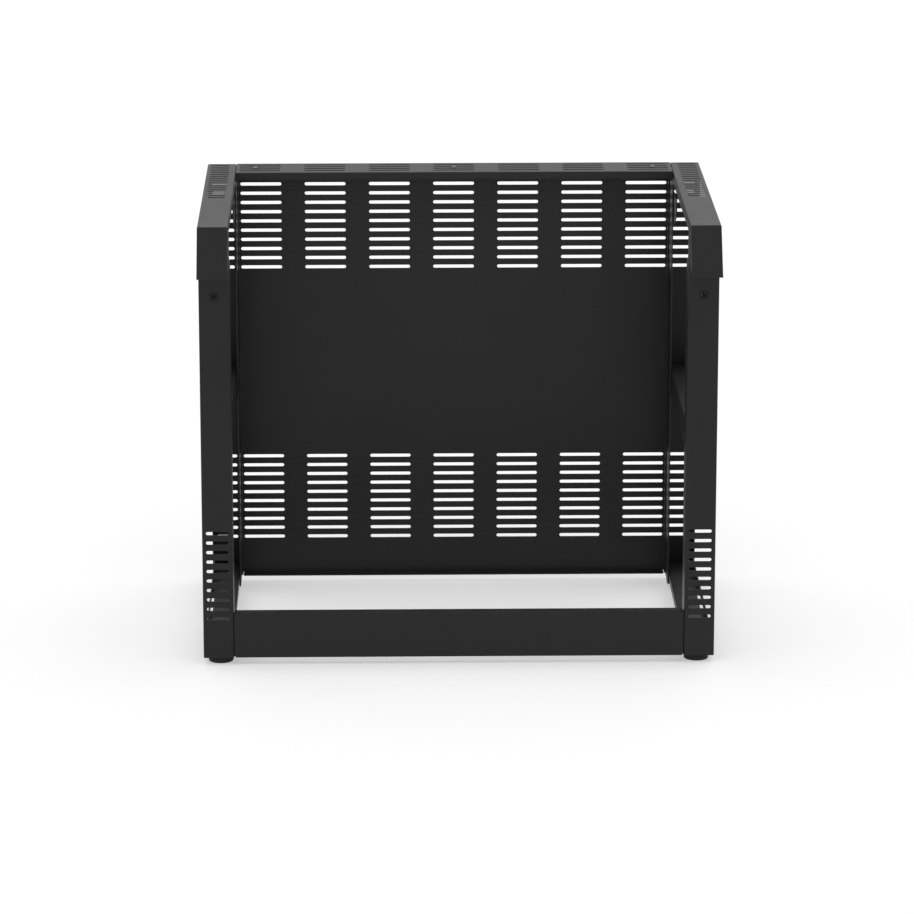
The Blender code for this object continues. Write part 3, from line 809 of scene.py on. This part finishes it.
def cage_screw(side, material):
    """The set screw in the cage nut: a turned outline with a chamfer and a deep hexagon socket."""
    word = hand(side)
    low, high = node_box(f"cage_nut_{word}")
    turn = angles(SCREW_STEPS)
    ring = np.ones(SCREW_STEPS)
    length = high[1] - low[1] - CAGE_SCREW_SET_BACK
    radius = CAGE_SCREW_RADIUS
    socket = hexagon(radius * CAGE_SCREW_SOCKET, turn)
    wall = ring * radius
    radii = np.array([wall * SCREW_TIP, wall, wall, wall * CAGE_SCREW_FACE, socket, socket])
    heights = [-length, -length + SCREW_END, -CAGE_SCREW_EDGE, 0, 0, -CAGE_SCREW_SOCKET_DEPTH]
    centre = ((low[0] + high[0]) / 2, low[1] + CAGE_SCREW_SET_BACK, (low[2] + high[2]) / 2)
    heights = np.array(heights)[:, None]
    piece = ringed(f"cage_screw_{word}", radii, heights, centre, material, facing="front")
    return smooth(piece, limit=30)


# ------------------------------------------------------------------ materials


def new_group(name, inputs, outputs):
    """An empty shader node group. inputs are (name, kind, default), outputs are (name, kind)."""
    group = bpy.data.node_groups.new(name, "ShaderNodeTree")
    for label, kind, default in inputs:
        socket = group.interface.new_socket(label, in_out="INPUT", socket_type=kind)
        socket.default_value = default
    for label, kind in outputs:
        group.interface.new_socket(label, in_out="OUTPUT", socket_type=kind)
    return group, group.nodes.new("NodeGroupInput"), group.nodes.new("NodeGroupOutput")


def add_math(tree, operation, first, second):
    node = tree.nodes.new("ShaderNodeMath")
    node.operation = operation
    for socket, value in zip(node.inputs, (first, second)):
        if isinstance(value, (int, float)):
            socket.default_value = value
        else:
            tree.links.new(value, socket)
    return node.outputs[0]


def add_noise(tree, place, scale, detail, roughness=0.5):
    node = tree.nodes.new("ShaderNodeTexNoise")
    node.inputs["Detail"].default_value = detail
    node.inputs["Roughness"].default_value = roughness
    tree.links.new(place, node.inputs["Vector"])
    if isinstance(scale, (int, float)):
        node.inputs["Scale"].default_value = scale
    else:
        tree.links.new(scale, node.inputs["Scale"])
    return node.outputs["Fac"]


def coat_grain():
    """Orange peel of a sprayed, baked coat: a soft swell, fine grit on it, and slow cloudiness."""
    group, given, result = new_group(
        "Coat grain",
        [("Peel scale", "NodeSocketFloat", 900.0), ("Grit scale", "NodeSocketFloat", 4200.0)],
        [("Height", "NodeSocketFloat"), ("Cloud", "NodeSocketFloat"), ("Grit", "NodeSocketFloat")],
    )
    place = group.nodes.new("ShaderNodeTexCoord").outputs["Object"]
    peel = add_noise(group, place, given.outputs["Peel scale"], detail=1.0)
    grit = add_noise(group, place, given.outputs["Grit scale"], detail=2.0, roughness=0.65)
    cloud = add_noise(group, place, CLOUD_SCALE, detail=3.0, roughness=0.55)
    swell = add_math(group, "MULTIPLY", peel, PEEL_SHARE)
    height = add_math(group, "ADD", swell, add_math(group, "MULTIPLY", grit, GRIT_SHARE))
    group.links.new(height, result.inputs["Height"])
    group.links.new(cloud, result.inputs["Cloud"])
    group.links.new(grit, result.inputs["Grit"])
    return group


def settled_dust():
    """Fine dust on faces that look up: the upward part of the normal, broken up by noise."""
    group, given, result = new_group(
        "Settled dust",
        [("Amount", "NodeSocketFloat", 0.2), ("Patch scale", "NodeSocketFloat", 28.0)],
        [("Mask", "NodeSocketFloat")],
    )
    place = group.nodes.new("ShaderNodeTexCoord").outputs["Object"]
    normal = group.nodes.new("ShaderNodeNewGeometry").outputs["Normal"]
    split = group.nodes.new("ShaderNodeSeparateXYZ")
    group.links.new(normal, split.inputs[0])
    upward = add_math(group, "MAXIMUM", split.outputs["Z"], 0.0)
    patch = add_noise(group, place, given.outputs["Patch scale"], detail=5.0, roughness=0.6)
    mask = add_math(group, "MULTIPLY", add_math(group, "POWER", upward, UPWARD_POWER), patch)
    group.links.new(add_math(group, "MULTIPLY", mask, given.outputs["Amount"]), result.inputs["Mask"])
    return group


def new_material(name):
    material = bpy.data.materials.new(name)
    material.use_nodes = True
    return material, material.node_tree, material.node_tree.nodes["Principled BSDF"]


def place_group(tree, group, **values):
    node = tree.nodes.new("ShaderNodeGroup")
    node.node_tree = group
    for label, value in values.items():
        node.inputs[label.replace("_", " ")].default_value = value
    return node


def mix_colour(tree, factor, first, second):
    node = tree.nodes.new("ShaderNodeMix")
    node.data_type = "RGBA"
    node.inputs["A"].default_value = (*first, 1.0)
    node.inputs["B"].default_value = (*second, 1.0)
    tree.links.new(factor, node.inputs["Factor"])
    return node.outputs["Result"]


def remap(tree, value, low, high):
    """A noise stretched to run from low to high."""
    node = tree.nodes.new("ShaderNodeMapRange")
    tree.links.new(value, node.inputs["Value"])
    node.inputs["From Min"].default_value = NOISE_LOW
    node.inputs["From Max"].default_value = NOISE_HIGH
    node.inputs["To Min"].default_value = low
    node.inputs["To Max"].default_value = high
    return node.outputs["Result"]


def bump(tree, shader, height, strength, distance):
    node = tree.nodes.new("ShaderNodeBump")
    node.inputs["Strength"].default_value = strength
    node.inputs["Distance"].default_value = distance
    tree.links.new(height, node.inputs["Height"])
    tree.links.new(node.outputs["Normal"], shader.inputs["Normal"])


def powder_coat(grain, dust):
    """Satin black powder coat."""
    material, tree, shader = new_material("powder coat")
    skin = place_group(tree, grain, Peel_scale=900.0, Grit_scale=4200.0)
    film = place_group(tree, dust, Amount=0.10, Patch_scale=28.0)
    clouded = mix_colour(tree, remap(tree, skin.outputs["Cloud"], 0.0, 1.0), COAT_DARK, COAT_LIGHT)
    dusted = tree.nodes.new("ShaderNodeMix")
    dusted.data_type = "RGBA"
    dusted.inputs["B"].default_value = (*DUST_COLOUR, 1.0)
    tree.links.new(film.outputs["Mask"], dusted.inputs["Factor"])
    tree.links.new(clouded, dusted.inputs["A"])
    tree.links.new(dusted.outputs["Result"], shader.inputs["Base Color"])
    smoothest, roughest = COAT_ROUGHNESS - COAT_ROUGHNESS_SPREAD, COAT_ROUGHNESS + COAT_ROUGHNESS_SPREAD
    rough = remap(tree, skin.outputs["Cloud"], smoothest, roughest)
    tree.links.new(rough, shader.inputs["Roughness"])
    shader.inputs["Specular IOR Level"].default_value = COAT_SPECULAR
    bump(tree, shader, skin.outputs["Height"], strength=0.25, distance=0.00004)
    return material


def grained(
    name, grain, shades, rough, *, peel, grit, strength, distance, metal=1.0, specular=0.5, rubbed=False
):
    """A finish with the grain's relief, between two shades and between two roughnesses.

    The roughness follows the fine grit. The shade follows the slow cloudiness, or where the surface is
    rubbed, the grit.
    """
    material, tree, shader = new_material(name)
    skin = place_group(tree, grain, Peel_scale=peel, Grit_scale=grit)
    share = remap(tree, skin.outputs["Grit"], 0.0, 1.0) if rubbed else skin.outputs["Cloud"]
    tree.links.new(mix_colour(tree, share, *shades), shader.inputs["Base Color"])
    tree.links.new(remap(tree, skin.outputs["Grit"], *rough), shader.inputs["Roughness"])
    shader.inputs["Metallic"].default_value = metal
    shader.inputs["Specular IOR Level"].default_value = specular
    bump(tree, shader, skin.outputs["Height"], strength, distance)
    return material


def plated_steel(grain):
    """Bright zinc plate: cool, faintly mottled, with drawn grain."""
    return grained(
        "zinc plate",
        grain,
        ZINC_SHADES,
        (0.26, 0.40),
        peel=420.0,
        grit=2600.0,
        strength=0.2,
        distance=0.00002,
    )


def blackened_steel(grain):
    """Blackened spring steel."""
    return grained(
        "blackened steel",
        grain,
        BLACKENED_SHADES,
        (0.34, 0.48),
        peel=700.0,
        grit=3600.0,
        strength=0.2,
        distance=0.00002,
    )


def worn_screw_steel(grain):
    """Blackened screw heads whose crown is rubbed back towards bright steel by the driver."""
    return grained(
        "screw steel",
        grain,
        SCREW_SHADES,
        (0.24, 0.36),
        peel=900.0,
        grit=5200.0,
        strength=0.15,
        distance=0.00001,
        rubbed=True,
    )


def moulded_rubber(grain):
    """Black moulded rubber of the feet."""
    return grained(
        "moulded rubber",
        grain,
        RUBBER_SHADES,
        (0.60, 0.74),
        peel=1300.0,
        grit=3200.0,
        strength=0.4,
        distance=0.00006,
        metal=0.0,
        specular=0.35,
    )


# ------------------------------------------------------------------ stage

CAMERA_PLACE = (-0.0982, -5.2139, 1.5930)
CAMERA_TURN = (math.radians(75.163), 0.0, math.radians(-1.083))
CAMERA_LENS = 177.57
SENSOR_WIDTH = 36.0
FLOOR_SIZE = 60.0
FLOOR_TONE = 0.70
DOME_STRENGTH = 1.0
FLOOR_GLOW = 0.35


def add_camera():
    camera = bpy.data.objects.new("camera", bpy.data.cameras.new("camera"))
    camera.data.lens = CAMERA_LENS
    camera.data.sensor_width = SENSOR_WIDTH
    camera.data.clip_end = 200.0
    camera.location = CAMERA_PLACE
    camera.rotation_euler = CAMERA_TURN
    bpy.context.scene.collection.objects.link(camera)
    bpy.context.scene.camera = camera


def add_floor():
    material, _, shader = new_material("pale floor")
    shader.inputs["Base Color"].default_value = (FLOOR_TONE, FLOOR_TONE, FLOOR_TONE, 1.0)
    shader.inputs["Roughness"].default_value = 0.9
    shader.inputs["Specular IOR Level"].default_value = 0.1
    shader.inputs["Emission Color"].default_value = (1.0, 1.0, 1.0, 1.0)
    shader.inputs["Emission Strength"].default_value = FLOOR_GLOW
    half = FLOOR_SIZE / 2
    corners = [(-half, -half, 0), (half, -half, 0), (half, half, 0), (-half, half, 0)]
    floor = mesh_piece("floor", corners, [(0, 1, 2, 3)], material)


def add_light():
    """An even white dome."""
    world = bpy.data.worlds.new("soft dome")
    world.use_nodes = True
    background = world.node_tree.nodes["Background"]
    background.inputs["Color"].default_value = (1.0, 1.0, 1.0, 1.0)
    background.inputs["Strength"].default_value = DOME_STRENGTH
    bpy.context.scene.world = world
    bpy.context.scene.view_settings.view_transform = "Standard"


# ------------------------------------------------------------------ the whole


def attach(piece, body):
    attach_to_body(piece, body)


def give(name, material):
    """The material on a CAD node; it shows on those whose shape is kept."""
    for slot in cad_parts[name].material_slots:
        slot.material = material


def main():
    grain = coat_grain()
    dust = settled_dust()
    coat = powder_coat(grain, dust)
    zinc = plated_steel(grain)
    dark = blackened_steel(grain)
    screws = worn_screw_steel(grain)
    rubber = moulded_rubber(grain)
    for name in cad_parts:
        give(name, dark if name.startswith("cage_nut") else coat)
    sheets = [back_panel(coat), rear_top_rail(coat), kick_plate(coat)]
    for side in (-1, 1):
        for end in ("front", "rear"):
            sheets.append(post(side, end, coat))
        sheets += [side_cap(side, coat), side_sill(side, coat), side_brace(side, coat)]
        attach(cage_screw(side, dark), "frame")
    for piece in sheets:
        attach(piece, "frame")
    for number in (1, 2, 3):
        attach(rail_screw(number, screws), "frame")
    for place in ("front_left", "front_right", "rear_left", "rear_right"):
        attach(foot_pad(place, rubber), f"foot_{place}")
        attach(foot_stud(place, zinc), f"stud_{place}")
        attach(foot_nut(place, zinc), "frame")
    add_camera()
    add_floor()
    add_light()


main()
